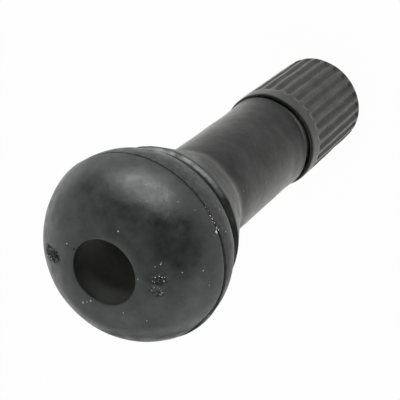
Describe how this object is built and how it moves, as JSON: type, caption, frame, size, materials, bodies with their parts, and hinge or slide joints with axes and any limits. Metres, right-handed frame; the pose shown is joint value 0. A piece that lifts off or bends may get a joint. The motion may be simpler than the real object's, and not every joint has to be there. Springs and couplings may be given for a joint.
{
  "type": "tyre valve",
  "caption": "Snap-in rubber tyre valve: domed bulb with an air bore, rim groove, flare and sleeve, ribbed screw cap over a brass stem with a spring-closed core.",
  "frame": {"origin": "centre of the cap's flat end, on the surface that the valve stands on", "axes": "+Z along the valve's axis from the cap up to the bulb; +X through the middle of one rib"},
  "size_m": [0.019, 0.019, 0.0435],
  "materials": {
    "rubber": "matt moulded rubber with a soft broad sheen",
    "cap_plastic": "matt moulded black plastic, a little warmer than the rubber",
    "brass": "turned brass",
    "steel": "drawn steel wire",
    "seal_rubber": "black seal rubber",
    "ptfe": "off-white waxy plastic"
  },
  "bodies": {
    "valve": {"rubber_body": "rubber", "brass_stem": "brass", "core_plug": "brass", "core_barrel": "brass", "barrel_gasket": "ptfe", "core_spring": "steel"},
    "valve_pin": {"core_pin": "steel", "pin_cup": "brass", "cup_gasket": "seal_rubber"},
    "cap_washer": {"cap_seal": "seal_rubber"},
    "cap": {"dust_cap": "cap_plastic"}
  },
  "joints": [
    {"name": "cap_lift", "type": "slide", "parent": "valve", "child": "cap_washer", "axis": [0, 0, -1], "range_m": [0, 0.00635]},
    {"name": "cap_turn", "type": "hinge", "parent": "cap_washer", "child": "cap", "pos_m": [0, 0, 0], "axis": [0, 0, -1], "range_deg": [0, 2881]},
    {"name": "pin_press", "type": "slide", "parent": "valve", "child": "valve_pin", "axis": [0, 0, 1], "range_m": [0, 0.0014], "stiffness_N_per_m": 600, "springref_m": -0.002, "deforming": ["core_spring"]}
  ],
  "couplings": [
    {"joint": "cap_turn", "follows": "cap_lift", "rad_per_m": 7915.8}
  ]
}
